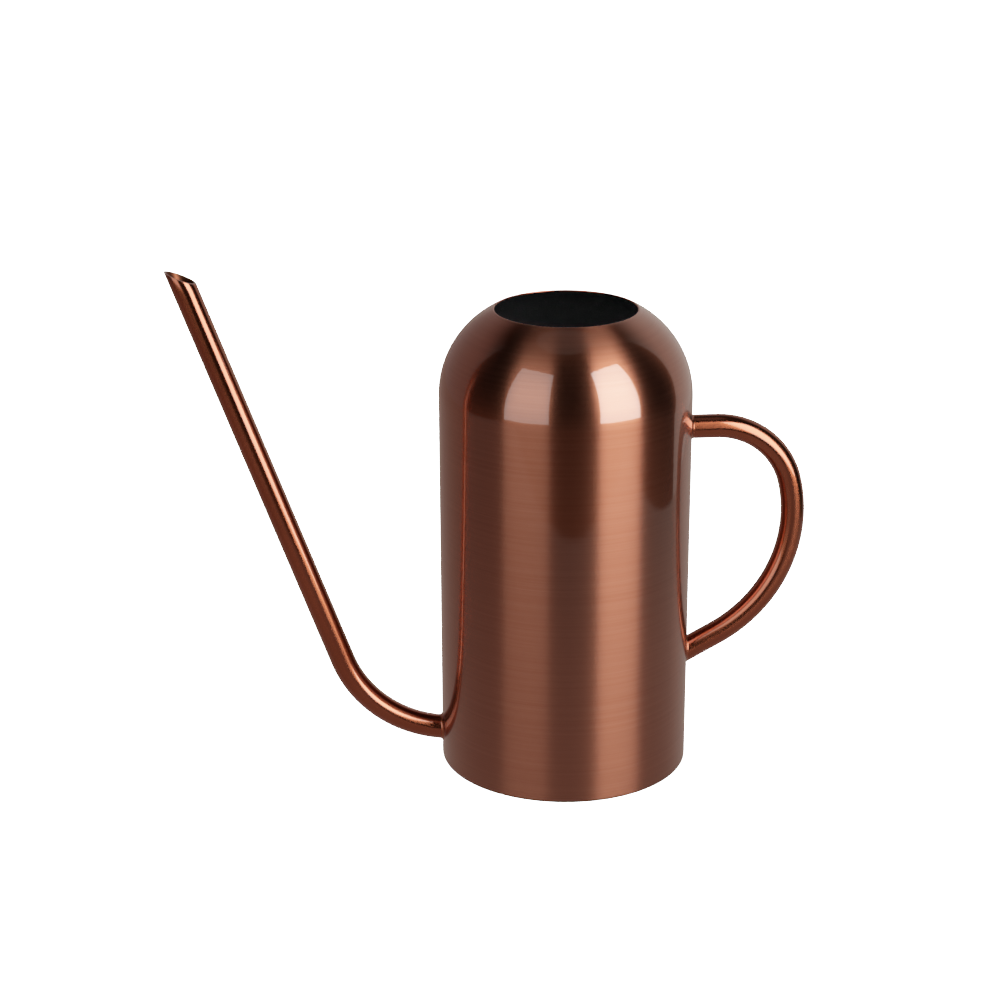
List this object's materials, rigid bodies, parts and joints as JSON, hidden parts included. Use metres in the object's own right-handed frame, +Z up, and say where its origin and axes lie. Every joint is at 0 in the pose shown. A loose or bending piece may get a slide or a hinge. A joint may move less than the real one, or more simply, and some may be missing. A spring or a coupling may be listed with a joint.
{
  "type": "watering can",
  "caption": "Slim indoor watering can: domed cylindrical body with a round fill mouth, long low-set upswept spout with a slant-cut tip, and a D-shaped tube handle.",
  "frame": {"origin": "on the body's axis, in the plane that the can stands on", "axes": "+Z up along the body's axis; the spout leaves towards -X and the handle towards +X; the can is symmetric about the XZ plane"},
  "size_m": [0.2767, 0.11, 0.2275],
  "materials": {
    "body_copper": "copper-plated stainless sheet, brushed round the axis, clear lacquer; matt black inside",
    "tube_copper": "copper-plated stainless tube, polished and lacquered",
    "weld_copper": "ground and polished weld, copper plated with the tubes",
    "base_copper": "satin copper-plated sheet, fine concentric marks"
  },
  "bodies": {
    "root": {"body_shell": "body_copper", "base_plate": "base_copper", "spout_tube": "tube_copper", "handle_tube": "tube_copper", "spout_weld": "weld_copper", "handle_top_weld": "weld_copper", "handle_bottom_weld": "weld_copper", "base_weld": "base_copper"}
  },
  "joints": []
}
